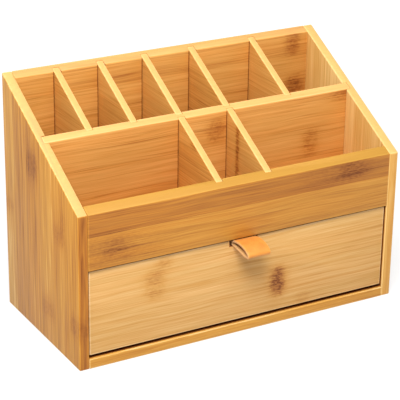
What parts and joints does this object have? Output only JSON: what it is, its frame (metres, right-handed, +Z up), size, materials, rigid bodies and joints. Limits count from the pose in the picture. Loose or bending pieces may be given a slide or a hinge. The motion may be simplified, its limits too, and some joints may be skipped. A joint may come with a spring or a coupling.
{
  "type": "desk organizer",
  "caption": "Bamboo desk organizer: open compartments with a rim that slopes down to the front, over a full-width drawer with a leather loop pull.",
  "frame": {"origin": "centre of the underside of the carcass, on the surface that it stands on", "axes": "+X to the right along the width, +Y towards the tall back, so the drawer opens along -Y, +Z up"},
  "size_m": [0.3, 0.1637, 0.208],
  "materials": {
    "bamboo_side": "laminated bamboo with upright grain, satin clear lacquer",
    "bamboo_front": "laminated bamboo with level grain, darker strips, satin clear lacquer",
    "bamboo_inner": "laminated bamboo, satin clear lacquer",
    "bamboo_drawer": "pale laminated bamboo with level grain, satin clear lacquer",
    "leather": "smooth tan leather with raw cut edges",
    "screw_steel": "zinc plated"
  },
  "bodies": {
    "carcass": {"left_side": "bamboo_side", "right_side": "bamboo_side", "back_panel": "bamboo_inner", "front_panel": "bamboo_front", "bottom_panel": "bamboo_side", "compartment_floor": "bamboo_inner", "cross_divider": "bamboo_inner", "back_divider_1": "bamboo_inner", "back_divider_2": "bamboo_inner", "back_divider_3": "bamboo_inner", "back_divider_4": "bamboo_inner", "back_divider_5": "bamboo_inner", "front_divider_1": "bamboo_inner", "front_divider_2": "bamboo_inner"},
    "drawer": {"drawer_front": "bamboo_drawer", "drawer_left_side": "bamboo_drawer", "drawer_right_side": "bamboo_drawer", "drawer_back": "bamboo_drawer", "drawer_bottom": "bamboo_inner", "pull_tab": "leather", "tab_screw_1": "screw_steel", "tab_screw_2": "screw_steel"}
  },
  "joints": [
    {"name": "drawer_slide", "type": "slide", "parent": "carcass", "child": "drawer", "axis": [0, -1, 0], "range_m": [0, 0.1]}
  ]
}
